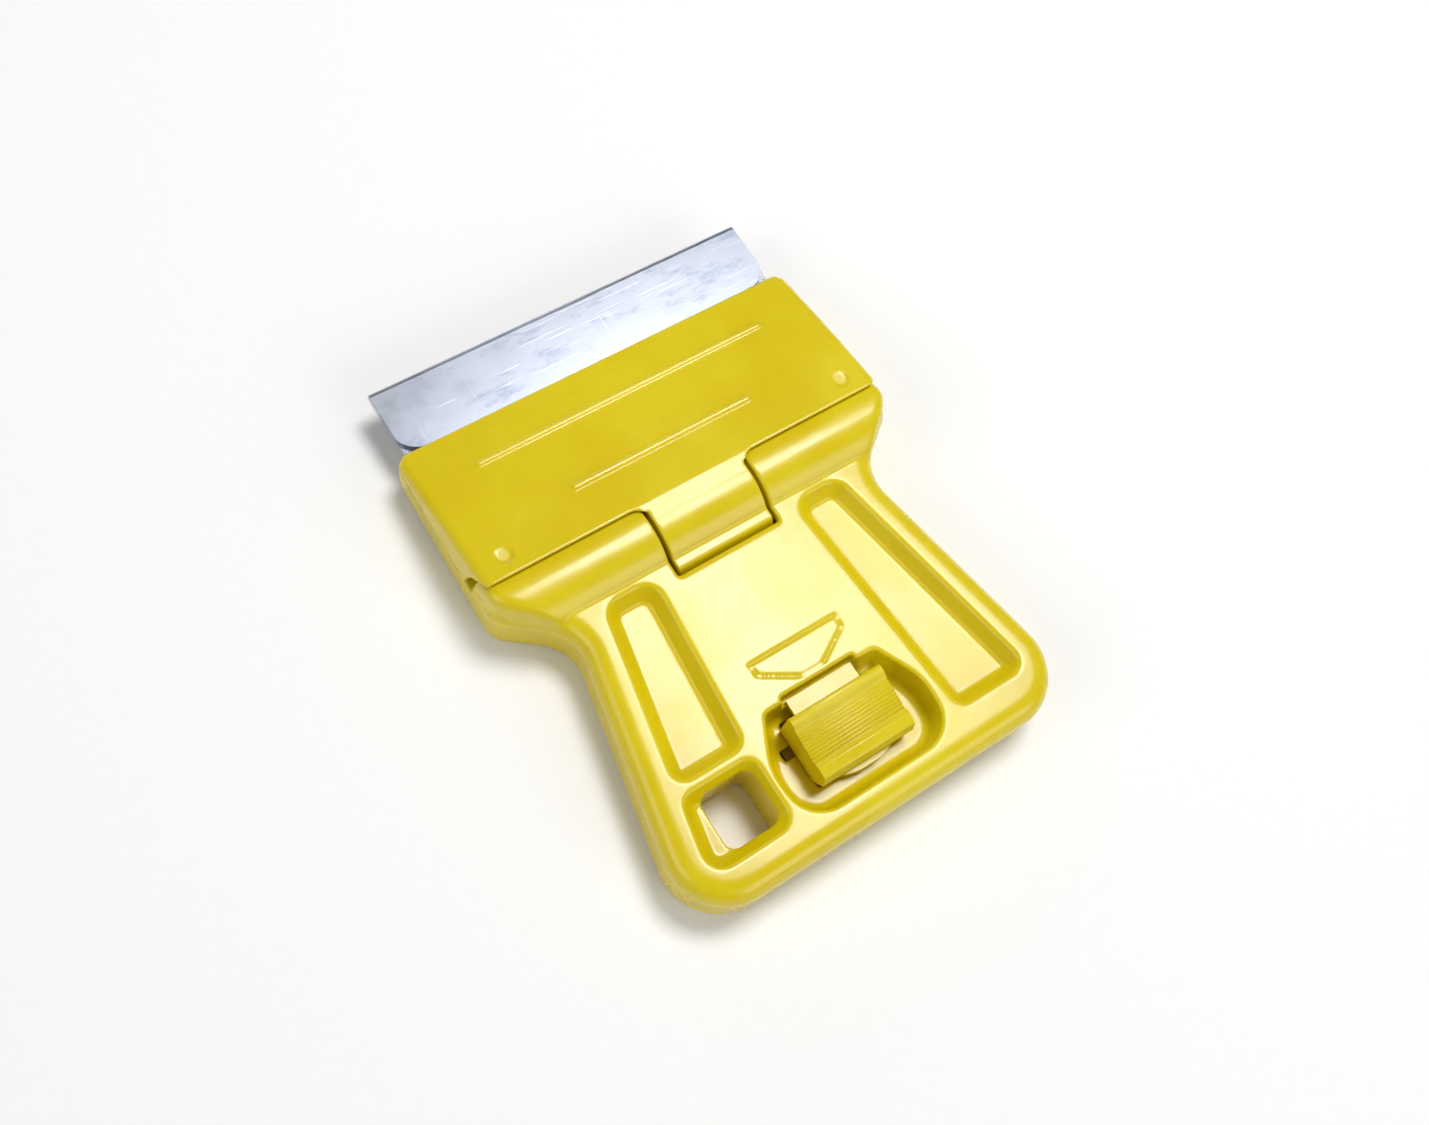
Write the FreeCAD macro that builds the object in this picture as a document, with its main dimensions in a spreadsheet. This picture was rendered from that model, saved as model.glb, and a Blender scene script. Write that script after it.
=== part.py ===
import FreeCAD, Part
import os
import re
import Sketcher
from math import acos, cos, hypot, pi, sin, tan
from FreeCAD import Placement, Rotation, Vector

# A pocket razor scraper. Millimetres. X runs along the blade, +Y towards the blade, +Z up.
# The origin is on the flat underside, straight below the axis of the lid hinge.
SIZES = {
    # blade
    "blade_long": 38.1, "blade_deep": 19.05, "blade_thick": 0.23, "bevel": 1.1, "edge_thick": 0.04,
    "notch_long": 2.4, "notch_deep": 1.2, "notch_at": 7.2,
    "spine_wide": 6.75, "spine_thick": 1.25, "spine_wall": 0.3, "spine_corner": 2.2, "spine_fold": 0.5,
    "spine_gap": 0.1, "blade_side_gap": 0.1, "blade_play": 0.065, "blade_seat": 0.015, "spine_play": 0.12,
    # outline: the flanks run straight from the waist to the tail
    "shoulder_half": "=blade_long / 2 + 1.45", "head_half": "=blade_long / 2 + 1.15", "head_reach": 16.7,
    "tail_half": 20.0, "handle_reach": 30.3,
    "waist_half": 15.03, "waist_front": 4.45, "shoulder_rear": 0.24,
    "tail_corner": 5.2, "waist_corner": 4.3, "shoulder_corner": 2.6, "head_corner": 1.1,
    "handle_thick": 6.0, "side_draft": 8.0, "edge_round": 1.8, "base_round": 0.8, "skin": 1.2, "past": 1.0,
    # hinge
    "hinge_height": "=handle_thick - 2.6", "barrel_radius": 4.2, "barrel_end_round": 1.0, "barrel_gap": 0.15,
    "knuckle_front": "=sqrt(barrel_radius ^ 2 - (handle_thick - hinge_height) ^ 2) - 0.1",
    "tab_half": 4.85, "side_gap": 0.35, "tab_web": 1.5,
    "blend_rear": 1.2, "blend_front": 2.2, "blend_drop": 0.42, "tail_rear": 4.15,
    "tail_gap": 0.2, "pin_radius": 0.9, "pin_half": 12.5, "pin_fit": 0.02, "pin_end_gap": 0.1,
    "pin_run": 0.05, "hub_radius": 2.2,
    # head
    "lid_rear": 1.65, "lid_top": "=hinge_height + barrel_radius + 0.15", "lid_crown_at": 9.0,
    "lid_front": "=hinge_height + 1.35", "lid_crown": "=lid_front + 1.75",
    "lid_round": 1.0, "lid_parting": "=hinge_height + 0.5", "lid_skin": 1.3, "crown_radius": 60.0, "rib": 1.0,
    "bay_front": 10.8, "bay_rear": 5.0, "pad_gap": 0.2, "rail_top": "=hinge_height + 0.35",
    "sole_rise": 1.4, "sole_from": 7.0,
    "line_high": 0.22, "line_wide": 0.4, "far_line_at": 12.2, "far_line_half": "=blade_long / 2 - 4.45",
    "near_line_at": 5.9, "near_line_half": "=blade_long / 2 - 10.05", "mark_radius": 0.8,
    "mark_at": "=blade_long / 2 - 1.95", "mark_front": 3.55, "mark_depth": 0.02,
    # grip recesses and hanging hole
    "grip_depth": 1.5, "grip_slope": 34.0, "grip_round": 0.5, "grip_rim": 2.9, "grip_front": 3.8,
    "grip_inner_front": 7.1, "grip_corner": 1.7, "grip_rear_corner": 1.3,
    "right_grip_inner": 8.9, "right_grip_rear": 3.9, "left_grip_inner": 8.4,
    "hole_inner": 8.9, "hole_outer": 13.8, "hole_front": "=handle_reach - 9.1",
    "left_grip_rear": "=hole_front - 1.4", "hole_rear": 4.1, "hole_round": 0.9, "hole_rim": 0.6,
    "hole_rim_rear": 3.1, "rim_round": 0.25,
    # thumb well
    "well_depth": 2.6, "well_slope": 12.0, "well_rear": "=handle_reach - 2.5",
    "well_front": "=well_rear - 9.4", "well_skin": 0.8,
    "well_front_half": 5.6, "well_half": 7.7, "well_foot_round": 0.8,
    "well_side": 4.2, "well_front_corner": 0.7,
    "well_side_corner": 5.0, "well_rear_corner": 3.2, "well_narrowing": 0.25, "well_notch_half": 3.75,
    "well_notch": 0.5, "well_notch_depth": 1.1, "rail_slot_at": "=well_front + 2.9",
    "rail_slot_long": 1.0,
    "arrow_front": "=well_front - 4.26", "arrow_rear": "=well_front - 0.98", "arrow_half": 4.6,
    "arrow_line": 0.3, "arrow_depth": 0.18,
    # latch
    "travel": 1.0, "bar_half": 4.4, "plate_half": 5.2, "plate_thick": 1.25, "bar_gap": 0.15,
     "block_rear": 14.2, "block_front": 6.2, "nose_tip": 5.2, "nose_thick": 0.45,
    "nose_gap": 0.1, "tooth_radius": 5.4, "tooth_low": "=hinge_height + 0.6",
    "tooth_thick": 0.4, "catch_edge": 0.08,
    "button_half": 4.6, "button_front": "=well_front + 1.5", "bar_rear": "=button_front + 6.1",
    "button_long": 5.9, "button_high": "=handle_thick + 1.45",
    "button_low": "=handle_thick + 0.3", "button_foot": 0.3,
    "stem_half": 4.1, "stem_long": 4.2, "stem_gap": 0.25, "ridge": 0.85,
    "apron_bulge": 0.9, "apron_high": 1.0, "tongue_half": 3.3, "tongue_reach": 1.6, "tongue_thick": 0.4,
    "groove_radius": 0.14, "grooves": 10, "peg_radius": 0.8, "peg_at": 2.5, "peg_gap": 0.02,
    "spring_coil": 0.85, "spring_wire": 0.15, "spring_turns": 5, "spring_end_gap": 0.05, "spring_lift": 0.25,
    "spring_rear": 12.2, "spring_front": 7.6, "spring_slot_half": 1.35, "post_thick": 1.0, "post_half": 1.1,
    # back cover
    "cover_thick": 1.1, "cover_gap": 0.1, "cover_front": 2.2, "cover_rim": 2.4, "cover_rear": 1.9,
    "cover_corner": 3.2, "cover_waist": 6.0, "cover_small_corner": 1.0, "hole_wall": 1.5,
    "channel_half": 5.6, "core_gap": 1.4,
}

doc = FreeCAD.newDocument("scraper")
sheet = doc.addObject("Spreadsheet::Sheet", "Dims")
for row, (alias, size) in enumerate(SIZES.items(), start=1):
    sheet.set(f"A{row}", alias)
    sheet.set(f"B{row}", str(size))
    sheet.setAlias(f"B{row}", alias)
doc.recompute()

TINY = 1e-6  # two places closer than this are the same
WORDS = re.compile(r"\b(" + "|".join(sorted(SIZES, key=len, reverse=True)) + r")\b")


def value(text):
    """The number that an expression of sheet names comes to."""
    return float(sheet.evalExpression(str(text)))


def bind(thing, prop, text):
    """Binds a property to an expression of sheet names."""
    thing.setExpression(prop, WORDS.sub(r"Dims.\1", str(text)))


# ---- sketches ----------------------------------------------------------------------------------

def plane(body, role):
    return next(o for o in body.Origin.OriginFeatures if o.Role == role)


def pin_point(sketch, geo, pos, corner):
    """Holds one point at the place that its two expressions give."""
    for kind, text in zip(("DistanceX", "DistanceY"), corner):
        at = sketch.addConstraint(Sketcher.Constraint(kind, -1, 1, geo, pos, value(text)))
        bind(sketch, f"Constraints[{at}]", text)


def add_outline(sketch, corners):
    """A closed outline of straight sides. A corner is (x, y) or (x, y, radius), in expressions."""
    points = [Vector(value(c[0]), value(c[1]), 0) for c in corners]
    ends = []
    for i, corner in enumerate(corners):
        here = points[i]
        back = (points[i - 1] - here).normalize()
        ahead = (points[(i + 1) % len(points)] - here).normalize()
        radius = value(corner[2]) if len(corner) > 2 else 0.0
        half = acos(max(-1.0, min(1.0, back.dot(ahead)))) / 2
        reach = radius / tan(half)
        ends.append((here + back * reach, here + ahead * reach, back, ahead, radius, half))
    lines = []
    for i in range(len(points)):
        line = Part.LineSegment(ends[i][1], ends[(i + 1) % len(points)][0])
        lines.append(sketch.addGeometry(line, False))
    for i, corner in enumerate(corners):
        into, out = lines[i - 1], lines[i]
        start, stop, back, ahead, radius, half = ends[i]
        if not radius:
            sketch.addConstraint(Sketcher.Constraint("Coincident", into, 2, out, 1))
            pin_point(sketch, out, 1, corner)
            continue
        bisector = (back + ahead).normalize()
        centre = points[i] + bisector * (radius / cos(pi / 2 - half))
        middle = centre - bisector * radius
        arc = sketch.addGeometry(Part.Arc(start, middle, stop), False)
        first = 1 if sketch.getPoint(arc, 1).distanceToPoint(start) < 1e-6 else 2
        sketch.addConstraint(Sketcher.Constraint("Tangent", into, 2, arc, first))
        sketch.addConstraint(Sketcher.Constraint("Tangent", arc, 3 - first, out, 1))
        at = sketch.addConstraint(Sketcher.Constraint("Radius", arc, radius))
        bind(sketch, f"Constraints[{at}]", corner[2])
        point = sketch.addGeometry(Part.Point(points[i]), True)
        sketch.addConstraint(Sketcher.Constraint("PointOnObject", point, 1, into))
        sketch.addConstraint(Sketcher.Constraint("PointOnObject", point, 1, out))
        pin_point(sketch, point, 1, corner)


def new_sketch(body, role, start=None):
    sketch = body.newObject("Sketcher::SketchObject", body.Name + "_sketch")
    sketch.AttachmentSupport = [(plane(body, role), "")]
    sketch.MapMode = "FlatFace"
    if start is not None:
        bind(sketch, "AttachmentOffset.Base.z", start)
    return sketch


def prism(name, role, corners, length, start=None, slope=None, both=False, down=False):
    """A PartDesign body: one outline padded square to its plane."""
    body = doc.addObject("PartDesign::Body", name)
    sketch = new_sketch(body, role, start)
    add_outline(sketch, corners)
    pad = body.newObject("PartDesign::Pad", name + "_pad")
    pad.Profile = sketch
    bind(pad, "Length", length)
    if both:
        pad.SideType = "Symmetric"
    pad.Reversed = down
    if slope is not None:
        bind(pad, "TaperAngle", f"-({slope})")
    doc.recompute()
    return body


def round_edges(body, chosen, radius):
    """A PartDesign fillet on the edges that chosen(edge) picks."""
    base = body.Tip
    names = [f"Edge{i}" for i, e in enumerate(base.Shape.Edges, start=1) if chosen(e)]
    fillet = body.newObject("PartDesign::Fillet", body.Name + "_round")
    fillet.Base = (base, names)
    bind(fillet, "Radius", radius)
    body.Tip = fillet
    doc.recompute()
    return body


def box(name, low, high):
    """A Part box between two corners given as expressions."""
    made = doc.addObject("Part::Box", name)
    for axis, side, a, b in zip("xyz", ("Length", "Width", "Height"), low, high):
        bind(made, side, f"({b}) - ({a})")
        bind(made, f"Placement.Base.{axis}", a)
    return made


def rod(name, radius, start, stop, y, z):
    """A Part cylinder along X."""
    made = doc.addObject("Part::Cylinder", name)
    bind(made, "Radius", radius)
    bind(made, "Height", f"({stop}) - ({start})")
    made.Placement = Placement(Vector(), Rotation(Vector(0, 1, 0), 90))
    bind(made, "Placement.Base.x", start)
    bind(made, "Placement.Base.y", y)
    bind(made, "Placement.Base.z", z)
    return made


def post(name, radius, x, y, low, high):
    """A Part cylinder along Z."""
    made = doc.addObject("Part::Cylinder", name)
    bind(made, "Radius", radius)
    bind(made, "Height", f"({high}) - ({low})")
    for axis, text in zip("xyz", (x, y, low)):
        bind(made, f"Placement.Base.{axis}", text)
    return made


def fuse(name, shapes):
    made = doc.addObject("Part::MultiFuse", name)
    made.Shapes = shapes
    made.Refine = True
    doc.recompute()
    return made


def cut(name, base, tools):
    made = doc.addObject("Part::Cut", name)
    made.Base = base
    made.Tool = tools[0] if len(tools) == 1 else fuse(name + "_tools", tools)
    made.Refine = True
    doc.recompute()
    return made


def common(name, one, other):
    made = doc.addObject("Part::MultiCommon", name)
    made.Shapes = [one, other]
    doc.recompute()
    return made


def round_solid(name, base, chosen, radius):
    """A Part fillet on the edges that chosen(edge) picks."""
    size = value(radius)
    made = doc.addObject("Part::Fillet", name)
    made.Base = base
    made.Edges = [(i, size, size) for i, e in enumerate(base.Shape.Edges, start=1) if chosen(e)]
    doc.recompute()
    return made


def along(edge, count=5):
    """Points spread along an edge."""
    first, last = edge.ParameterRange
    return [edge.valueAt(first + (last - first) * i / (count - 1)) for i in range(count)]


def mirrored(right):
    """The right-hand corners, then the same ones across X = 0, in the opposite order."""
    return right + [(f"-({c[0]})",) + tuple(c[1:]) for c in reversed(right)]


# ---- shared outlines ---------------------------------------------------------------------------

def flank(rear):
    """Half the width between the flanks, at a distance rear of the hinge."""
    slope = "(tail_half - waist_half) / (handle_reach - waist_front)"
    return f"(waist_half + {slope} * ({rear} - waist_front))"


def body_plan():
    """The plan of handle and head together."""
    return mirrored([
        ("tail_half", "-handle_reach", "tail_corner"),
        ("waist_half", "-waist_front", "waist_corner"),
        ("shoulder_half", "-shoulder_rear", "shoulder_corner"),
        ("head_half", "head_reach", "head_corner"),
    ])


def cover_plan(grow):
    """The plan of the back cover, which steps round the hanging hole."""
    rear = "(handle_reach - cover_rear)"
    small = "cover_small_corner"
    front_half = f"{flank('waist_front')} - cover_rim + {grow}"
    step = "hole_front - hole_wall"
    right = [
        (f"{flank(rear)} - cover_rim + {grow}", f"-{rear} - {grow}", "cover_corner"),
        (front_half, "-waist_front", "cover_waist"),
        (front_half, f"cover_front + {grow}", small),
    ]
    left = [
        (f"-({front_half})", f"cover_front + {grow}", small),
        (f"-({front_half})", "-waist_front", "cover_waist"),
        (f"-({flank(step)}) + cover_rim - {grow}", f"-({step}) - {grow}", small),
        (f"-(hole_inner - hole_wall) - {grow}", f"-({step}) - {grow}", small),
        (f"-(hole_inner - hole_wall) - {grow}", f"-{rear} - {grow}", small),
    ]
    return right + left


def grip(side, inner_rear, rear):
    """One grip recess beside the flank. The side is 1 on the right and -1 on the left."""
    corners = [
        ("grip_inner_front", "-grip_front", "grip_corner"),
        (inner_rear, f"-({rear})", "grip_rear_corner"),
        (f"{flank(rear)} - grip_rim", f"-({rear})", "grip_rear_corner"),
        (f"{flank('grip_front')} - grip_rim", "-grip_front", "grip_corner"),
    ]
    if side < 0:
        corners = [(f"-({x})", y, r) for x, y, r in reversed(corners)]
    return corners


def core(side, inner_rear, rear):
    """The hollow under a grip recess: its plan drawn in by the gap between core and recess."""
    corners = [
        ("grip_inner_front", "-grip_front - 2 * core_gap"),
        (inner_rear, f"-({rear}) + core_gap"),
        (f"{flank(rear)} - grip_rim - core_gap", f"-({rear}) + core_gap"),
        (f"{flank('grip_front')} - grip_rim - core_gap/2", "-grip_front - 2 * core_gap"),
    ]
    if side < 0:
        corners = [(f"-({x})", y) for x, y in reversed(corners)]
    return [(x, y, "cover_small_corner") for x, y in corners]


def hole_recess():
    front, rear = "hole_front - hole_rim", "handle_reach - hole_rim_rear"
    return [
        ("-hole_inner + hole_rim", f"-({front})", "grip_rear_corner"),
        (f"-{flank(front)} + grip_rim", f"-({front})", "grip_rear_corner"),
        (f"-{flank(rear)} + grip_rim", f"-({rear})", "grip_corner"),
        ("-hole_inner + hole_rim", f"-({rear})", "grip_corner"),
    ]


def hole_plan():
    rear = "-handle_reach + hole_rear"
    corners = [("-hole_inner", "-hole_front"), ("-hole_outer", "-hole_front"),
               ("-hole_outer", rear), ("-hole_inner", rear)]
    return [(x, y, "hole_round") for x, y in corners]


RIGHT_GRIP = (1, "right_grip_inner", "handle_reach - right_grip_rear")
LEFT_GRIP = (-1, "left_grip_inner", "left_grip_rear")
TAIL_RADIUS = "sqrt(tail_rear^2 + (handle_thick - hinge_height)^2)"


# ---- handle body -------------------------------------------------------------------------------

def handle_blank():
    """The outer form: a rounded slab and the two hinge shoulders."""
    slab = prism("slab", "XY_Plane", body_plan(), "handle_thick")
    top = value("handle_thick")
    round_edges(slab, lambda e: all(abs(p.z - top) < TINY for p in along(e)), "edge_round")
    round_edges(slab, lambda e: all(abs(p.z) < TINY for p in along(e)), "base_round")

    height, radius = value("hinge_height"), value("barrel_radius")
    barrel = rod("barrel", "barrel_radius", "-shoulder_half", "shoulder_half", "0", "hinge_height")
    keep = prism("barrel_plan", "XY_Plane", body_plan(), "2 * barrel_radius", start="hinge_height",
                 slope="side_draft")
    shoulders = common("shoulders", barrel, keep)

    def end_edge(edge):
        points = along(edge)
        on_barrel = all(abs(hypot(p.y, p.z - height) - radius) < 1e-3 for p in points)
        return on_barrel and all(abs(p.x) > value("tab_half") and p.z > height for p in points)

    shoulders = round_solid("round_shoulders", shoulders, end_edge, "barrel_end_round")
    return fuse("blank", [slab, shoulders])


def blade_bed():
    """Room for the blade on its bed, for the spine of a turned blade, and above the rails beside them."""
    side = "blade_long/2 + blade_side_gap"
    roof = "2 * barrel_radius"
    spine_low = f"{blade_middle()} - spine_thick/2 - spine_play"
    return [
        box("above_rails", ("-2 * shoulder_half", "knuckle_front", "rail_top"),
            ("2 * shoulder_half", "head_reach + past", roof)),
        box("above_bed", (f"-({side})", "knuckle_front", "hinge_height"), (side, "head_reach + past", roof)),
        box("spine_pocket", (f"-({side})", "knuckle_front", spine_low),
            (side, "knuckle_front + spine_wide + past", roof)),
    ]


def hinge_room():
    """The notch for the middle knuckle, the pin's bore and the saddle that the pin drops into."""
    side, reach = "tab_half + side_gap", "pin_half + pin_end_gap"
    return [
        box("notch", (f"-({side})", "-tail_rear", "-past"),
            (side, "knuckle_front + past", "3 * barrel_radius")),
        rod("tail_room", f"{TAIL_RADIUS} + tail_gap", f"-({side})", side, "0", "hinge_height"),
        rod("bore", "pin_radius + pin_fit", f"-({reach})", reach, "0", "hinge_height"),
        box("saddle", (f"-({reach})", "-pin_radius - pin_fit", "-past"),
            (reach, "pin_radius + pin_fit", "hinge_height")),
    ]


def underside_cuts():
    """The rising sole, the seat of the back cover, the latch channel and the hollows under the grips."""
    foot = "handle_thick - well_depth - well_skin"
    under_well = "-well_front + skin + past"
    ahead = "(head_reach + past)"
    slope = "sole_rise / (head_reach - sole_from)"
    core_high = "handle_thick - grip_depth - skin"
    return [
        prism("sole", "YZ_Plane", [("sole_from", "-past"), (ahead, "-past"),
                                    (ahead, f"{slope} * ({ahead} - sole_from)"), ("sole_from", "0")],
              "3 * shoulder_half", both=True),
        prism("cover_seat", "XY_Plane", cover_plan("cover_gap"), "cover_thick", start="0"),
        box("channel", ("-channel_half", under_well, "0"), ("channel_half", "0", "handle_thick - skin")),
        box("plate_channel", ("-channel_half", "-bar_rear - travel - stem_gap", "0"),
            ("channel_half", under_well, foot)),
        prism("right_core", "XY_Plane", core(*RIGHT_GRIP), core_high),
        prism("left_core", "XY_Plane", core(-1, "left_grip_inner", "left_grip_rear"), core_high),
    ]


def thumb_well():
    """The well that the button slides in, with a notch for its tongue and slots beside it."""
    plan = mirrored([
        ("well_front_half", "-well_front", "well_front_corner"),
        ("well_half", "-well_front - well_side", "well_side_corner"),
        ("well_half - well_narrowing", "-well_rear", "well_rear_corner"),
    ])
    well = prism("well", "XY_Plane", plan, "well_depth", start="handle_thick", slope="well_slope", down=True)
    foot = value("handle_thick - well_depth")
    round_edges(well, lambda e: all(abs(p.z - foot) < TINY for p in along(e)), "well_foot_round")
    stem_side = "stem_half + stem_gap"
    floor = "handle_thick - well_depth"
    rear = "-button_front - stem_long - travel - 2 * stem_gap"
    slots = [
        box(f"rail_slot_{name}", (low, "-rail_slot_at - rail_slot_long", "plate_thick"),
            (high, "-rail_slot_at", f"{floor} + past"))
        for name, low, high in (("right", stem_side, "channel_half"),
                                ("left", "-channel_half", f"-({stem_side})"))
    ]
    return [
        well,
        box("well_window", (f"-({stem_side})", rear, "plate_thick"),
            (stem_side, "-button_front + 2 * stem_gap", f"{floor} + past/2")),
        box("tongue_notch", ("-well_notch_half", "-well_front - past", "handle_thick - well_notch_depth"),
            ("well_notch_half", "-well_front + well_notch", "handle_thick + past")),
    ] + slots


def arrow_plan(inset):
    """The arrow's outline: wide at its front, with its point to the rear."""
    return mirrored([
        (f"0.257 * arrow_half - 0.3 * {inset}", f"-arrow_rear + {inset}"),
        (f"0.965 * arrow_half - {inset}", f"-arrow_rear + 0.58 * (arrow_rear - arrow_front) + 0.5 * {inset}"),
        (f"arrow_half - {inset}", f"-arrow_front - {inset}"),
    ])


def face_cuts():
    """The recesses of the top face: grips, hanging hole, thumb well and the arrow's outline."""
    def recess(name, corners):
        return prism(name, "XY_Plane", corners, "grip_depth", start="handle_thick",
                     slope="grip_slope", down=True)

    arrow = prism("arrow_outer", "XY_Plane", arrow_plan("0 * arrow_line"), "past",
                  start="handle_thick - arrow_depth")
    inner = prism("arrow_inner", "XY_Plane", arrow_plan("arrow_line"), "3 * past",
                  start="handle_thick - past")
    return [
        recess("right_grip", grip(*RIGHT_GRIP)),
        recess("left_grip", grip(*LEFT_GRIP)),
        recess("hole_recess", hole_recess()),
        prism("hole", "XY_Plane", hole_plan(), "handle_thick + 2 * past", start="-past"),
        cut("arrow", arrow, [inner]),
    ] + thumb_well()


def handle_body():
    tools = blade_bed() + hinge_room() + underside_cuts() + face_cuts()
    body = cut("handle_solid", handle_blank(), tools)
    top = value("handle_thick")
    rear, outer = value("-handle_reach + edge_round"), value("tail_half - edge_round")

    def flat_rim(edge):
        """Whether an edge lies in the top face, inside the outer edge round."""
        level = all(abs(p.z - top) < TINY and rear < p.y < value("-grip_front + 0.1") for p in along(edge))
        return level and edge.Length > 0.05 and all(abs(p.x) < outer for p in along(edge))

    def near_well(edge):
        middle = along(edge)[2]
        beside = abs(middle.x) < value("well_half + 0.1") and middle.y < value("-well_front + 0.1")
        return beside and middle.x > value("-hole_inner + hole_rim + 0.1")

    def near_hole(edge):
        middle = along(edge)[2]
        return middle.x < value("-hole_inner + hole_rim + 0.1") and middle.y < value("-left_grip_rear - 0.5")

    def on_notch(edge):
        return all(abs(p.x) < value("well_notch_half + 0.01") for p in along(edge)) and \
            all(p.y > value("-well_front - 0.01") for p in along(edge))

    def on_arrow(edge):
        return all(abs(p.x) < value("arrow_half + 0.01") and p.y > value("-arrow_rear - 0.01")
                   for p in along(edge))

    def grip_rim(edge):
        return flat_rim(edge) and not (near_well(edge) or near_hole(edge) or on_arrow(edge) or on_notch(edge))

    def hole_or_well_rim(edge):
        return flat_rim(edge) and (near_well(edge) or near_hole(edge)) and not on_notch(edge)

    body = round_solid("grip_rims", body, grip_rim, "grip_round")
    return round_solid("hole_and_well_rims", body, hole_or_well_rim, "rim_round")


# ---- back cover --------------------------------------------------------------------------------

def back_cover():
    plate = prism("cover_plate", "XY_Plane", cover_plan("0 * cover_gap"), "cover_thick")
    inner, outer = "tab_half + side_gap + cover_gap", "pin_half - cover_gap"
    keepers = [
        box(f"keeper_{side}", (low, "-pin_radius", "cover_thick/2"),
            (high, "pin_radius", "hinge_height - pin_radius - pin_fit"))
        for side, low, high in (("right", inner, outer), ("left", f"-({outer})", f"-({inner})"))
    ]
    stop = box("spring_post", ("-post_half", "-spring_rear - post_thick", "cover_thick/2"),
               ("post_half", "-spring_rear", "hinge_height"))
    solid = fuse("cover_solid", [plate, stop] + keepers)
    window = box("tail_window", ("-tab_half - side_gap", "-tooth_radius - cover_gap", "-past"),
                 ("tab_half + side_gap", "-hub_radius - tail_gap", "cover_thick + past"))
    return cut("cover", solid, [window])


# ---- hinge pin ---------------------------------------------------------------------------------

def hinge_pin():
    return rod("pin", "pin_radius", "-pin_half", "pin_half", "0", "hinge_height")


# ---- head cover: the lid over the blade --------------------------------------------------------

def lid_profile(bottom):
    return [("lid_rear", bottom), ("head_reach", bottom), ("head_reach", "lid_front"),
            ("lid_crown_at", "lid_crown", "crown_radius"), ("lid_rear", "lid_top")]


def lid_shell():
    """The wedge over the blade, its upper outer edges rounded, and the webs beside the tab."""
    deep = "lid_parting - 3 * past"
    form = prism("lid_form", "YZ_Plane", lid_profile(deep), "3 * shoulder_half", both=True)
    keep = prism("lid_plan", "XY_Plane", body_plan(), "3 * barrel_radius", start="lid_parting",
                 slope="side_draft")
    shell = common("lid_wedge", form, keep)
    floor = value("lid_parting + 0.1")
    side = value("head_half - 1")

    def top_rim(edge):
        points = along(edge)
        outer = all(abs(p.x) > side or p.y > value("head_reach") - 0.05 for p in points)
        level = abs(points[0].z - points[-1].z) < 2.5
        return outer and level and all(p.z > floor for p in points)

    shell = round_solid("lid_rounded", shell, top_rim, "lid_round")
    web_half = "tab_half + tab_web"
    web_plan = prism("web_plan", "XY_Plane", mirrored([
        ("tab_half", "lid_rear - 2 * tab_web"), ("tab_half", "lid_rear", "tab_web"),
        (f"{web_half} + past", "lid_rear"), (f"{web_half} + past", "lid_rear + past/4")]),
        "3 * barrel_radius")
    skin = tab_blend("web_blend", f"2 * ({web_half} + past)", "hinge_height + hub_radius")
    return fuse("lid_shell", [shell, common("webs", web_plan, skin)])


def tab_blend(name, width, low):
    """The tab's upper surface, from the top of its barrel up to the rear edge of the lid."""
    front = "lid_rear + blend_front"
    return prism(name, "YZ_Plane", [
        ("-blend_rear", "hinge_height + sqrt(barrel_radius^2 - blend_rear^2)"), ("-blend_rear", low),
        (front, low), (front, "lid_top - blend_drop"), ("lid_rear", "lid_top")], width, both=True)


def lid_level(at):
    """Height of the lid's upper surface at a distance in front of the hinge."""
    if value(at) > value("lid_crown_at"):
        fall = "(lid_crown - lid_front) / (head_reach - lid_crown_at)"
        return f"(lid_crown - {fall} * ({at} - lid_crown_at))"
    fall = "(lid_top - lid_crown) / (lid_crown_at - lid_rear)"
    return f"(lid_top - {fall} * ({at} - lid_rear))"


def line_across(name, at, half):
    """A plain raised line across the lid."""
    made = box(f"line_{name}", (f"-{half}", at, "0"), (half, f"{at} + line_wide", "past"))
    level = lid_level(f"({at} + line_wide/2)")
    bind(made, "Placement.Base.z", f"{level} + line_high - past")
    return made


def lid_hollows():
    """What is taken out of the lid: room for the shoulders, ribbed bays and two dimples."""
    side = "blade_long/2 + blade_side_gap"
    far = "2 * shoulder_half"
    hollows = [box("lid_below", (f"-({far})", "-2 * barrel_radius", "-2 * barrel_radius"),
                   (far, "head_reach + past", "lid_parting"))]
    for name, low, high in (("right", "tab_half", far), ("left", f"-({far})", "-tab_half")):
        hollows.append(rod(f"barrel_room_{name}", "barrel_radius + barrel_gap", low, high,
                           "0", "hinge_height"))
    bay = [("bay_rear", "past"), ("bay_front", "past"), ("bay_front", "lid_front + 0.1"),
           ("bay_rear", "lid_top - lid_skin - 0.75")]
    wide = "(blade_long/4 - 0.75 * rib)"
    for name, start in (("far_left", f"-2 * {wide} - 1.5 * rib"), ("left", f"-{wide} - rib/2"),
                        ("right", "rib/2"), ("far_right", f"{wide} + 1.5 * rib")):
        hollows.append(prism(f"bay_{name}", "YZ_Plane", bay, wide, start=start))
    hollows.append(box("turned_spine_room", (f"-({side})", "knuckle_front", "0"),
                       (side, "knuckle_front + spine_wide + past",
                        f"{blade_middle()} + spine_thick/2 + spine_play")))
    for name, at in (("right", "mark_at"), ("left", "-mark_at")):
        level = lid_level("(mark_front + mark_radius)")
        hollows.append(post(f"mark_{name}", "mark_radius", at, "mark_front", f"{level} - mark_depth",
                            "lid_top + past"))
    return hollows


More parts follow.
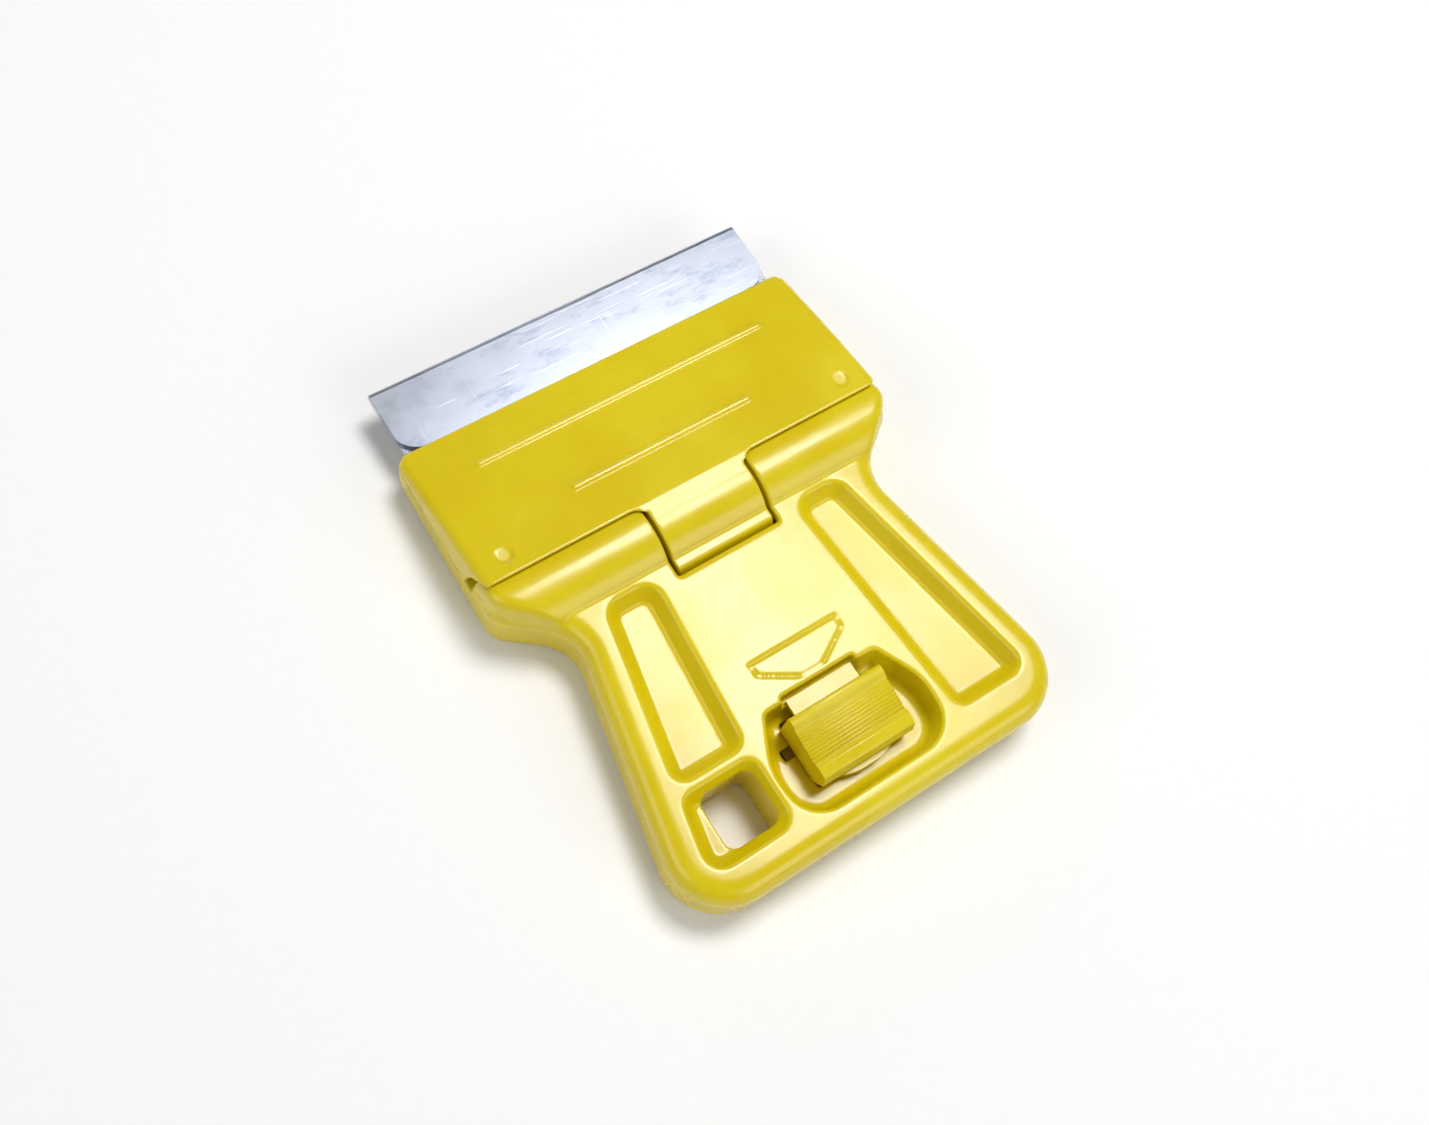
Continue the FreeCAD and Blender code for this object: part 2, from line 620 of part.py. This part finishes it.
def head_cover():
    shell = cut("lid_cut", lid_shell(), lid_hollows())
    pad = box("blade_pad", ("-blade_long/2 + pad_gap", "knuckle_front + spine_wide + past + pad_gap",
                            "hinge_height + blade_seat + blade_thick + blade_play"),
              ("blade_long/2 - pad_gap", "head_reach - pad_gap", "lid_parting + pad_gap"))
    lines = [line_across("far", "far_line_at", "far_line_half"),
             line_across("near", "near_line_at", "near_line_half")]
    return fuse("lid", [shell, pad, middle_knuckle()] + lines)


def middle_knuckle():
    """The tab that turns on the pin, with the tail and the wedge-shaped tooth that the latch holds."""
    span = ("-tab_half", "tab_half")
    hub = rod("hub", "hub_radius", *span, "0", "hinge_height")
    barrel = rod("tab_barrel", "barrel_radius", *span, "0", "hinge_height")
    upper = box("tab_upper", ("-tab_half", "-2 * barrel_radius", "tooth_low"),
                ("tab_half", "lid_rear + blend_front", "3 * barrel_radius"))
    tail_round = rod("tail_round", TAIL_RADIUS, *span, "0", "hinge_height")
    tail_zone = box("tail_zone", ("-tab_half", "-2 * barrel_radius", "tooth_low"),
                    ("tab_half", "0", "handle_thick"))
    tooth = prism("tooth", "YZ_Plane", [
        ("-hub_radius", "tooth_low"), ("-tooth_radius", "tooth_low"),
        ("-tooth_radius", "tooth_low + catch_edge"),
        ("-tooth_radius + tooth_thick - catch_edge", "tooth_low + tooth_thick"),
        ("-hub_radius", "tooth_low + tooth_thick")], "2 * bar_half", both=True)
    solid = fuse("knuckle_solid", [hub, common("tab_top", barrel, upper),
                                   common("tail", tail_round, tail_zone), tooth,
                                   tab_blend("tab_blend", "2 * tab_half", "tooth_low")])
    bore = rod("knuckle_bore", "pin_radius + pin_run", "-tab_half - past", "tab_half + past",
               "0", "hinge_height")
    return cut("knuckle", solid, [bore])


# ---- latch -------------------------------------------------------------------------------------

def button_cap():
    """The button's profile: a front ridge, a slope for the ribs and a rear lip."""
    foot = "handle_thick - well_depth + button_foot"
    rear = "(button_front + button_long)"
    return prism("button_cap", "YZ_Plane", [
        ("-button_front", foot),
        ("-button_front", "button_high", 0.35),
        ("-button_front - ridge", "button_high - 0.12", 0.3),
        ("-button_front - ridge - 0.35", "button_high - 0.45"),
        (f"-{rear} + ridge + 0.75", "button_low + 0.35"),
        (f"-{rear} + ridge + 0.4", "button_low + 0.55", 0.2),
        (f"-{rear} + 0.3", "button_low + 0.25", 0.4),
        (f"-{rear}", "handle_thick - 0.9", 0.5),
        (f"-{rear} + 0.9", foot, 0.5),
    ], "2 * button_half", both=True)


def latch_button():
    foot = "handle_thick - well_depth + button_foot"
    low = "cover_thick + bar_gap + plate_thick"
    stem_rear = "-button_front - stem_long"
    rear = "-button_front - button_long"
    apron = prism("apron", "XY_Plane", mirrored([
        ("1.4", f"{rear} + 0.5 - apron_bulge", "button_half"), ("button_half", f"{rear} + 0.9", 0.6),
        ("button_half", "-button_front - ridge")]), "apron_high", start=foot)
    tongue_low = "handle_thick - well_notch_depth + bar_gap"
    tongue = box("tongue", ("-tongue_half", "-button_front - ridge", tongue_low),
                 ("tongue_half", "-button_front + tongue_reach", f"{tongue_low} + tongue_thick"))
    stem = box("stem", ("-stem_half", stem_rear, low), ("stem_half", "-button_front", "handle_thick - 0.8"))
    pegs = [post(f"peg_{i}", "peg_radius", f"{side} * peg_at", f"{stem_rear} + stem_long/2",
                 "cover_thick + bar_gap + 0.2", "handle_thick - 1.5") for i, side in enumerate((-1, 1))]
    solid = fuse("button_solid", [button_cap(), apron, tongue, stem] + pegs)
    count = int(value("grooves"))
    first, last = "-button_front - ridge - 0.55", f"{rear} + ridge + 0.95"
    top, bottom = "button_high - 0.42", "button_low + 0.32"
    grooves = []
    for i in range(count):
        share = i / (count - 1)
        grooves.append(rod(f"groove_{i}", "groove_radius", "-button_half - past", "button_half + past",
                           f"({first}) + (({last}) - ({first})) * {share}",
                           f"({top}) + (({bottom}) - ({top})) * {share}"))
    return cut("button", solid, grooves)


def latch_bar():
    low = "cover_thick + bar_gap"
    nose_top = "tooth_low - nose_gap"
    plate = box("plate", ("-plate_half", "-bar_rear", low),
                ("plate_half", "-block_rear + 0.5", f"{low} + plate_thick"))
    block = box("block", ("-bar_half", "-block_rear", low), ("bar_half", "-block_front", nose_top))
    nose = prism("nose", "YZ_Plane", [
        ("-block_front - 0.5", nose_top), ("-block_front - 0.5", f"{nose_top} - nose_thick"),
        ("-nose_tip - nose_thick + catch_edge", f"{nose_top} - nose_thick"),
        ("-nose_tip", f"{nose_top} - catch_edge"), ("-nose_tip", nose_top)], "2 * bar_half", both=True)
    solid = fuse("bar_solid", [plate, block, nose])
    slot = box("spring_slot", ("-spring_slot_half", "-spring_rear - post_thick - bar_gap", "0"),
               ("spring_slot_half", "-spring_front", "hinge_height + bar_gap"))
    holes = [post(f"peg_hole_{i}", "peg_radius + peg_gap", f"{side} * peg_at",
                  "-button_front - stem_long/2", "0", "hinge_height") for i, side in enumerate((-1, 1))]
    return cut("bar", solid, [slot] + holes)


def latch_spring():
    """A coil spring along Y between the post and the block: a swept helix of eight-sided wire."""
    coil, wire = value("spring_coil"), value("spring_wire")
    length = value("spring_rear - spring_front") - 2 * (wire + value("spring_end_gap"))
    corners = [pi / 4 * (k + 0.5) for k in range(9)]
    section = Part.makePolygon([Vector(coil + wire * cos(a), 0, wire * sin(a)) for a in corners])
    helix = Part.makeHelix(length / value("spring_turns"), length, coil)
    made = doc.addObject("Part::Feature", "spring")
    made.Shape = Part.Wire(helix).makePipeShell([section], True, True)
    rear = -value("spring_rear") + wire + value("spring_end_gap")
    axis_height = value("cover_thick + bar_gap + spring_coil + spring_wire + spring_lift")
    made.Placement = Placement(Vector(0, rear, axis_height), Rotation(Vector(1, 0, 0), -90))
    return made


# ---- blade -------------------------------------------------------------------------------------

def blade_middle():
    """Height of the middle of the blade's steel."""
    return "(hinge_height + blade_seat + blade_thick/2)"


def razor_blade():
    front = "head_reach + spine_gap + spine_wide"
    edge = f"({front} - blade_deep)"
    mid = blade_middle()
    steel = prism("steel", "YZ_Plane", [
        (edge, f"{mid} - edge_thick/2"), (f"{edge} + bevel", f"{mid} - blade_thick/2"),
        (f"{front} - spine_wall", f"{mid} - blade_thick/2"),
        (f"{front} - spine_wall", f"{mid} + blade_thick/2"),
        (f"{edge} + bevel", f"{mid} + blade_thick/2"), (edge, f"{mid} + edge_thick/2")],
        "blade_long", both=True)
    ends = {"left": ("-blade_long", "-blade_long/2 + notch_deep"),
            "right": ("blade_long/2 - notch_deep", "blade_long")}
    notches = [box(f"end_notch_{side}", (low, f"{edge} + notch_at", "0"),
                   (high, f"{edge} + notch_at + notch_long", "handle_thick"))
               for side, (low, high) in ends.items()]
    return cut("blade", steel, notches)


def blade_spine():
    front = "head_reach + spine_gap + spine_wide"
    rear = "head_reach + spine_gap"
    mid = blade_middle()
    fold = prism("fold", "YZ_Plane", [
        (rear, f"{mid} - spine_thick/2"), (front, f"{mid} - spine_thick/2", "spine_fold"),
        (front, f"{mid} + spine_thick/2", "spine_fold"), (rear, f"{mid} + spine_thick/2")],
        "blade_long", both=True)
    plan = prism("fold_plan", "XY_Plane", mirrored([
        ("blade_long/2", rear, "spine_corner"), ("blade_long/2", f"{front} + past")]),
        "handle_thick")
    form = common("fold_form", fold, plan)
    slot = box("fold_slot", ("-blade_long", f"{rear} - past", f"{mid} - blade_thick/2"),
               ("blade_long", f"{front} - spine_wall", f"{mid} + blade_thick/2"))
    return cut("fold_cut", form, [slot])


# ---- assembly ----------------------------------------------------------------------------------

PIECES = {
    "handle_body": handle_body,
    "back_cover": back_cover,
    "hinge_pin": hinge_pin,
    "head_cover": head_cover,
    "latch_button": latch_button,
    "latch_bar": latch_bar,
    "latch_spring": latch_spring,
    "razor_blade": razor_blade,
    "blade_spine": blade_spine,
}


def main():
    made = {}
    for label, make in PIECES.items():
        made[label] = make()
        made[label].Label = label
    doc.recompute()
    failed = [f"{thing.Name}: {thing.State}" for thing in doc.Objects
              if {"Invalid", "Error"} & set(thing.State)]
    if failed:
        raise RuntimeError("; ".join(failed))
    os.makedirs("parts", exist_ok=True)
    for label, thing in made.items():
        shape = thing.Shape
        if shape.isNull() or not shape.isValid() or not shape.Solids:
            raise RuntimeError(f"{label}: bad shape")
        print(f"{label}: {len(shape.Solids)} solid, {shape.Volume:.1f} mm3")
        shape.exportStep(f"parts/{label}.step")


main()
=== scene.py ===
from math import cos, pi, radians, sin

import bpy
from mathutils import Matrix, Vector


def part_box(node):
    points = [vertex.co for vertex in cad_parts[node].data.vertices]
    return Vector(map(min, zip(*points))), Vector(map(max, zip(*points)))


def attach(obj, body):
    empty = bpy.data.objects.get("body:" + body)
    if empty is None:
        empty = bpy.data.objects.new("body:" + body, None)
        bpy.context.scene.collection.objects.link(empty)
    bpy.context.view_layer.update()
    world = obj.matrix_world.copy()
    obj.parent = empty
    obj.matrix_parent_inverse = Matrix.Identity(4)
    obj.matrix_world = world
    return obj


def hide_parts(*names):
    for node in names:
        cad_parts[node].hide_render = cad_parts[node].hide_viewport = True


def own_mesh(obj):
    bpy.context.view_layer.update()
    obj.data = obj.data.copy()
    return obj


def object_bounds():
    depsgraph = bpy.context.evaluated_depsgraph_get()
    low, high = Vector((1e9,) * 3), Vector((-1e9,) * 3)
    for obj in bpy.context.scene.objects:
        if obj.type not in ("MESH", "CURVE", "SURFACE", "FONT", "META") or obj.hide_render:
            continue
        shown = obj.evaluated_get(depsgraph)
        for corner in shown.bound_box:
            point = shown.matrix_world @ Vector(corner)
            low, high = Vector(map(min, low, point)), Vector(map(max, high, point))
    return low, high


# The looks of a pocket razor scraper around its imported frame. Metres. X runs along the blade,
# +Y towards the blade, +Z up. The tool lies on its flat underside.
MM = 0.001

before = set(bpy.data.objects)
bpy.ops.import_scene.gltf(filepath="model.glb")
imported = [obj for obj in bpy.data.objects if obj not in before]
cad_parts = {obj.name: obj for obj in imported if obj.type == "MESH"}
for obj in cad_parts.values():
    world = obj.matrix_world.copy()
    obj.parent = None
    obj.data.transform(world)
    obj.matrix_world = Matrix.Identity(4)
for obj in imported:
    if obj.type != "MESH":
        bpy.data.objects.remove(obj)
cad_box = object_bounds()
low, high = (Vector(corner) for corner in cad_box)

# ---- camera --------------------------------------------------------------------------------------
CAMERA_AT = Vector((-39.49, -33.94, 114.02)) * MM
CAMERA_TURN = (22.21, -8.30, -33.16)
LENS, SENSOR = 35.27, 36.0

# ---- light ---------------------------------------------------------------------------------------
WORLD_COLOR, WORLD_STRENGTH = (0.93, 0.96, 1.0), 0.22
LIGHTS = {
    # name: (direction from the tool, distance, width, height, power, colour)
    "key_softbox": ((0.32, 0.15, 0.935), 0.42, 0.17, 0.13, 1.18, (1.0, 0.985, 0.97)),
    "left_fill": ((-0.85, 0.10, 0.50), 0.50, 0.35, 0.25, 0.65, (1.0, 0.98, 0.95)),
    "rear_fill": ((0.25, -0.85, 0.45), 0.50, 0.35, 0.25, 0.75, (1.0, 0.99, 0.97)),
    "front_fill": ((0.10, 0.95, 0.22), 0.60, 0.30, 0.20, 0.30, (0.97, 0.98, 1.0)),
}

# ---- plastic pieces: (body, slot, voxel, smoothing passes) ----------------------------------------
MOULDED = {
    "handle_body": ("handle", "yellow_plastic", 0.14 * MM, 5),
    "head_cover": ("lid", "yellow_plastic", 0.12 * MM, 4),
    "back_cover": ("handle", "yellow_plastic_dark", 0.20 * MM, 2),
    "latch_bar": ("latch", "yellow_plastic_inner", 0.12 * MM, 2),
}
SOFTEN = 0.5

# ---- CAD nodes that stay: (slot, round on their sharp edges) ---------------------------------------
KEPT_CAD = {
    "latch_button": ("yellow_plastic_button", 0.05 * MM),
    "blade_spine": ("spine_steel", 0.05 * MM),
    "razor_blade": ("blade_steel", 0.01 * MM),
    "hinge_pin": ("steel_pin", 0.10 * MM),
}
WELD_GAP = 0.002 * MM
SHARP_FROM = radians(40)

# ---- latch spring ----------------------------------------------------------------------------------
WIRE_RADIUS = 0.15 * MM
SPRING_TURNS = 6.5
END_TURN = 0.75  # of a turn at each end that lies closed
STEPS_PER_TURN, WIRE_SIDES = 40, 12

FLOOR_REACH = 1.5


# ---- node materials ------------------------------------------------------------------------------

class Nodes:
    """A short way to write a node material."""

    def __init__(self, name):
        self.material = bpy.data.materials.new(name)
        self.material.use_nodes = True
        self.tree = self.material.node_tree
        self.shader = self.tree.nodes["Principled BSDF"]
        self.place = self.add("ShaderNodeTexCoord").outputs["Object"]

    def add(self, kind, inputs=None, **settings):
        node = self.tree.nodes.new(kind)
        for name, setting in settings.items():
            setattr(node, name, setting)
        for name, source in (inputs or {}).items():
            self.join(node.inputs[name], source)
        return node

    def join(self, socket, source):
        if isinstance(source, bpy.types.NodeSocket):
            self.tree.links.new(source, socket)
        else:
            socket.default_value = source

    def noise(self, size, detail=3.0, roughness=0.5, stretch=(1, 1, 1), offset=0.0):
        """Noise with features of about that size in metres, longer along an axis with stretch."""
        scaled = self.add("ShaderNodeMapping", {"Vector": self.place, "Location": (offset, offset, 0.0),
                                                "Scale": tuple(1 / s for s in stretch)})
        node = self.add("ShaderNodeTexNoise", {"Vector": scaled.outputs["Vector"], "Scale": 1 / size,
                                               "Detail": detail, "Roughness": roughness})
        return node.outputs["Fac"]

    def span(self, source, from_low, from_high, to_low, to_high):
        ends = {"Value": source, "From Min": from_low, "From Max": from_high, "To Min": to_low,
                "To Max": to_high}
        node = self.add("ShaderNodeMapRange", ends, interpolation_type="SMOOTHSTEP")
        return node.outputs["Result"]

    def mix(self, factor, one, other):
        node = self.add("ShaderNodeMix", data_type="RGBA")
        for at, source in ((0, factor), (6, one), (7, other)):
            self.join(node.inputs[at], source)
        return node.outputs[2]

    def maths(self, operation, *values):
        node = self.add("ShaderNodeMath", operation=operation)
        for at, source in enumerate(values):
            self.join(node.inputs[at], source)
        return node.outputs[0]

    def bump(self, height, strength, distance, under=None):
        node = self.add("ShaderNodeBump", {"Height": height, "Strength": strength, "Distance": distance})
        if under is not None:
            self.join(node.inputs["Normal"], under)
        return node.outputs["Normal"]

    def finish(self, **sockets):
        for name, source in sockets.items():
            self.join(self.shader.inputs[name.replace("_", " ")], source)
        return self.material


def plastic(name, base, deep, rough):
    """Semi-gloss injection-moulded plastic: faint flow clouds, fine skin texture and handling scuffs."""
    n = Nodes(name)
    clouds = n.noise(9 * MM, detail=4.0)
    color = n.mix(n.span(clouds, 0.32, 0.68, 0.0, 1.0), (*deep, 1), (*base, 1))
    specks = n.noise(0.35 * MM, detail=1.0, offset=0.3)
    color = n.mix(n.span(specks, 0.83, 0.87, 0.0, 0.35), color, (0.25, 0.17, 0.02, 1))
    skin = n.noise(0.22 * MM, detail=2.0)
    waves = n.noise(2.6 * MM, detail=1.0)
    scuffs = n.noise(0.5 * MM, detail=5.0, roughness=0.65, stretch=(7, 1, 1), offset=0.1)
    scuffed = n.span(scuffs, 0.60, 0.74, 0.0, 1.0)
    roughness = n.maths("ADD", n.span(clouds, 0.3, 0.7, rough - 0.05, rough + 0.05),
                        n.maths("MULTIPLY", scuffed, 0.10))
    normal = n.bump(skin, 0.22, 0.02 * MM, n.bump(waves, 0.35, 0.06 * MM))
    return n.finish(Base_Color=color, Roughness=roughness, Normal=normal, IOR=1.49, Coat_Weight=0.05,
                    Coat_Roughness=0.12, Subsurface_Weight=0.10, Subsurface_Radius=(1.0, 0.75, 0.08),
                    Subsurface_Scale=1.2 * MM)


def steel(name, base, dark, rough, brushed, smudge):
    """Steel with a fine grain along X, hairline scratches and hand smudges."""
    n = Nodes(name)
    grain = n.noise(0.06 * MM, detail=2.0, stretch=(brushed, 1, 1))
    cloud = n.noise(6 * MM, detail=5.0, roughness=0.6)
    smears = n.noise(2.4 * MM, detail=6.0, roughness=0.7, stretch=(2.5, 1, 1), offset=0.2)
    hair = n.noise(0.12 * MM, detail=1.0, stretch=(60, 1, 1), offset=0.4)
    cross = n.noise(0.12 * MM, detail=1.0, stretch=(1.5, 45, 1), offset=0.7)
    scratches = n.maths("MAXIMUM", n.span(hair, 0.70, 0.74, 0.0, 1.0), n.span(cross, 0.76, 0.80, 0.0, 1.0))
    stained = n.maths("MULTIPLY", n.span(smears, 0.50, 0.68, 0.0, 1.0), smudge)
    color = n.mix(stained, (*base, 1), (*dark, 1))
    color = n.mix(n.maths("MULTIPLY", scratches, 0.5), color, (0.95, 0.96, 0.98, 1))
    roughness = n.maths("ADD", n.span(cloud, 0.3, 0.7, rough - 0.05, rough + 0.07),
                        n.maths("MULTIPLY", stained, 0.12))
    under = n.bump(grain, 0.30, 0.008 * MM, n.bump(cloud, 0.2, 0.05 * MM))
    normal = n.bump(scratches, 0.25, 0.01 * MM, under)
    return n.finish(Base_Color=color, Roughness=roughness, Normal=normal, Metallic=1.0)


def paper_floor():
    n = Nodes("pale_paper")
    grain = n.noise(1.2 * MM, detail=3.0)
    color = n.mix(grain, (0.93, 0.93, 0.93, 1), (0.95, 0.95, 0.95, 1))
    return n.finish(Base_Color=color, Roughness=0.9, Specular_IOR_Level=0.1)


YELLOW, DEEP_YELLOW = (0.72, 0.58, 0.004), (0.68, 0.52, 0.003)
MATERIALS = {
    "yellow_plastic": plastic("yellow_plastic", YELLOW, DEEP_YELLOW, 0.25),
    "yellow_plastic_dark": plastic("yellow_plastic_dark", YELLOW, DEEP_YELLOW, 0.38),
    "yellow_plastic_button": plastic("yellow_plastic_button", YELLOW, DEEP_YELLOW, 0.28),
    "yellow_plastic_inner": plastic("yellow_plastic_inner", (0.56, 0.42, 0.008), (0.52, 0.37, 0.006), 0.45),
    "blade_steel": steel("blade_steel", (0.60, 0.63, 0.68), (0.34, 0.36, 0.42), 0.24, 30, 0.6),
    "spine_steel": steel("spine_steel", (0.40, 0.43, 0.50), (0.24, 0.28, 0.38), 0.33, 12, 0.7),
    "steel_pin": steel("steel_pin", (0.62, 0.63, 0.66), (0.40, 0.41, 0.44), 0.22, 20, 0.3),
    "spring_steel": steel("spring_steel", (0.50, 0.51, 0.54), (0.30, 0.30, 0.32), 0.28, 10, 0.3),
}


# ---- pieces --------------------------------------------------------------------------------------

def dress(piece, slot):
    piece.data.materials.clear()
    piece.data.materials.append(MATERIALS[slot])


def smooth(mesh):
    mesh.polygons.foreach_set("use_smooth", [True] * len(mesh.polygons))
    mesh.update()


def baked(piece):
    """The piece with its modifiers applied to its mesh."""
    graph = bpy.context.evaluated_depsgraph_get()
    mesh = bpy.data.meshes.new_from_object(piece.evaluated_get(graph))
    piece.modifiers.clear()
    piece.data = mesh
    return piece


def moulded(node, body, slot, voxel, passes):
    """A copy of a plastic CAD node with the soft corners that a mould leaves."""
    piece = bpy.data.objects.new(node + "_moulded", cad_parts[node].data.copy())
    bpy.context.scene.collection.objects.link(piece)
    remesh = piece.modifiers.new("remesh", "REMESH")
    remesh.mode = "VOXEL"
    remesh.voxel_size = voxel
    soften = piece.modifiers.new("soften", "SMOOTH")
    soften.factor = SOFTEN
    soften.iterations = passes
    baked(piece)
    smooth(piece.data)
    dress(piece, slot)
    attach(piece, body)
    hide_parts(node)
    return piece


def keep_cad(node, slot, round_edge):
    """A CAD node that stays, with its sharp edges broken by a small round."""
    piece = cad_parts[node]
    dress(piece, slot)
    weld = piece.modifiers.new("weld", "WELD")
    weld.merge_threshold = WELD_GAP
    edge = piece.modifiers.new("edge", "BEVEL")
    edge.width = round_edge
    edge.segments = 2
    edge.limit_method = "ANGLE"
    edge.angle_limit = SHARP_FROM
    edge.harden_normals = True
    return piece


def spring_middles(start, end):
    """Points along the middle of the wire, each with the direction away from the coil's axis."""
    coil = (end.x - start.x) / 2 - WIRE_RADIUS
    centre = (start + end) / 2
    steps = int(SPRING_TURNS * STEPS_PER_TURN)
    reach = (end.y - start.y) / 2 - WIRE_RADIUS
    for i in range(steps + 1):
        turn = i / steps * SPRING_TURNS
        even = min(max((turn - END_TURN) / (SPRING_TURNS - 2 * END_TURN), 0.0), 1.0)
        closed = WIRE_RADIUS * (min(turn, END_TURN) - min(SPRING_TURNS - turn, END_TURN)) / END_TURN
        y = centre.y - reach + WIRE_RADIUS + (2 * reach - 2 * WIRE_RADIUS) * even + closed
        angle = 2 * pi * turn
        outward = Vector((cos(angle), 0, sin(angle)))
        yield Vector((centre.x, y, centre.z)) + outward * coil, outward


def spring_coil():
    """The latch spring as a round-wire coil with closed ends."""
    start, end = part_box("latch_spring")
    verts, faces = [], []
    for middle, outward in spring_middles(start, end):
        for k in range(WIRE_SIDES):
            a = 2 * pi * k / WIRE_SIDES
            verts.append(middle + outward * (WIRE_RADIUS * cos(a)) + Vector((0, WIRE_RADIUS * sin(a), 0)))
    rings = len(verts) // WIRE_SIDES
    for i in range(rings - 1):
        for k in range(WIRE_SIDES):
            a, b = i * WIRE_SIDES + k, i * WIRE_SIDES + (k + 1) % WIRE_SIDES
            faces.append((a, b, b + WIRE_SIDES, a + WIRE_SIDES))
    faces.append(tuple(range(WIRE_SIDES))[::-1])
    faces.append(tuple((rings - 1) * WIRE_SIDES + k for k in range(WIRE_SIDES)))
    mesh = bpy.data.meshes.new("spring_coil")
    mesh.from_pydata(verts, [], faces)
    smooth(mesh)
    piece = bpy.data.objects.new("spring_coil", mesh)
    bpy.context.scene.collection.objects.link(piece)
    dress(piece, "spring_steel")
    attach(piece, "handle")
    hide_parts("latch_spring")
    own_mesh(piece)
    return piece


# ---- stage ---------------------------------------------------------------------------------------

def floor():
    side = FLOOR_REACH
    corners = [(x * side, y * side, low.z) for x, y in ((-1, -1), (1, -1), (1, 1), (-1, 1))]
    mesh = bpy.data.meshes.new("floor")
    mesh.from_pydata(corners, [], [tuple(range(len(corners)))])
    ground = bpy.data.objects.new("floor", mesh)
    mesh.materials.append(paper_floor())
    bpy.context.scene.collection.objects.link(ground)


def camera():
    data = bpy.data.cameras.new("camera")
    data.lens, data.sensor_width = LENS, SENSOR
    data.clip_start = 0.005
    holder = bpy.data.objects.new("camera", data)
    holder.location = CAMERA_AT
    holder.rotation_euler = [radians(a) for a in CAMERA_TURN]
    bpy.context.scene.collection.objects.link(holder)
    bpy.context.scene.camera = holder


def lights():
    middle = (low + high) / 2
    for name, (direction, distance, width, height, power, color) in LIGHTS.items():
        data = bpy.data.lights.new(name, "AREA")
        data.shape = "RECTANGLE"
        data.size, data.size_y = width, height
        data.energy, data.color = power, color
        lamp = bpy.data.objects.new(name, data)
        away = Vector(direction).normalized()
        lamp.location = middle + away * distance
        lamp.rotation_euler = away.to_track_quat("Z", "Y").to_euler()
        bpy.context.scene.collection.objects.link(lamp)
    world = bpy.data.worlds.new("world")
    world.use_nodes = True
    sky = world.node_tree.nodes["Background"]
    sky.inputs["Color"].default_value = (*WORLD_COLOR, 1)
    sky.inputs["Strength"].default_value = WORLD_STRENGTH
    bpy.context.scene.world = world


for node, choices in MOULDED.items():
    moulded(node, *choices)
for node, choices in KEPT_CAD.items():
    keep_cad(node, *choices)
spring_coil()
floor()
lights()
camera()
bpy.context.scene.view_settings.view_transform = "Standard"
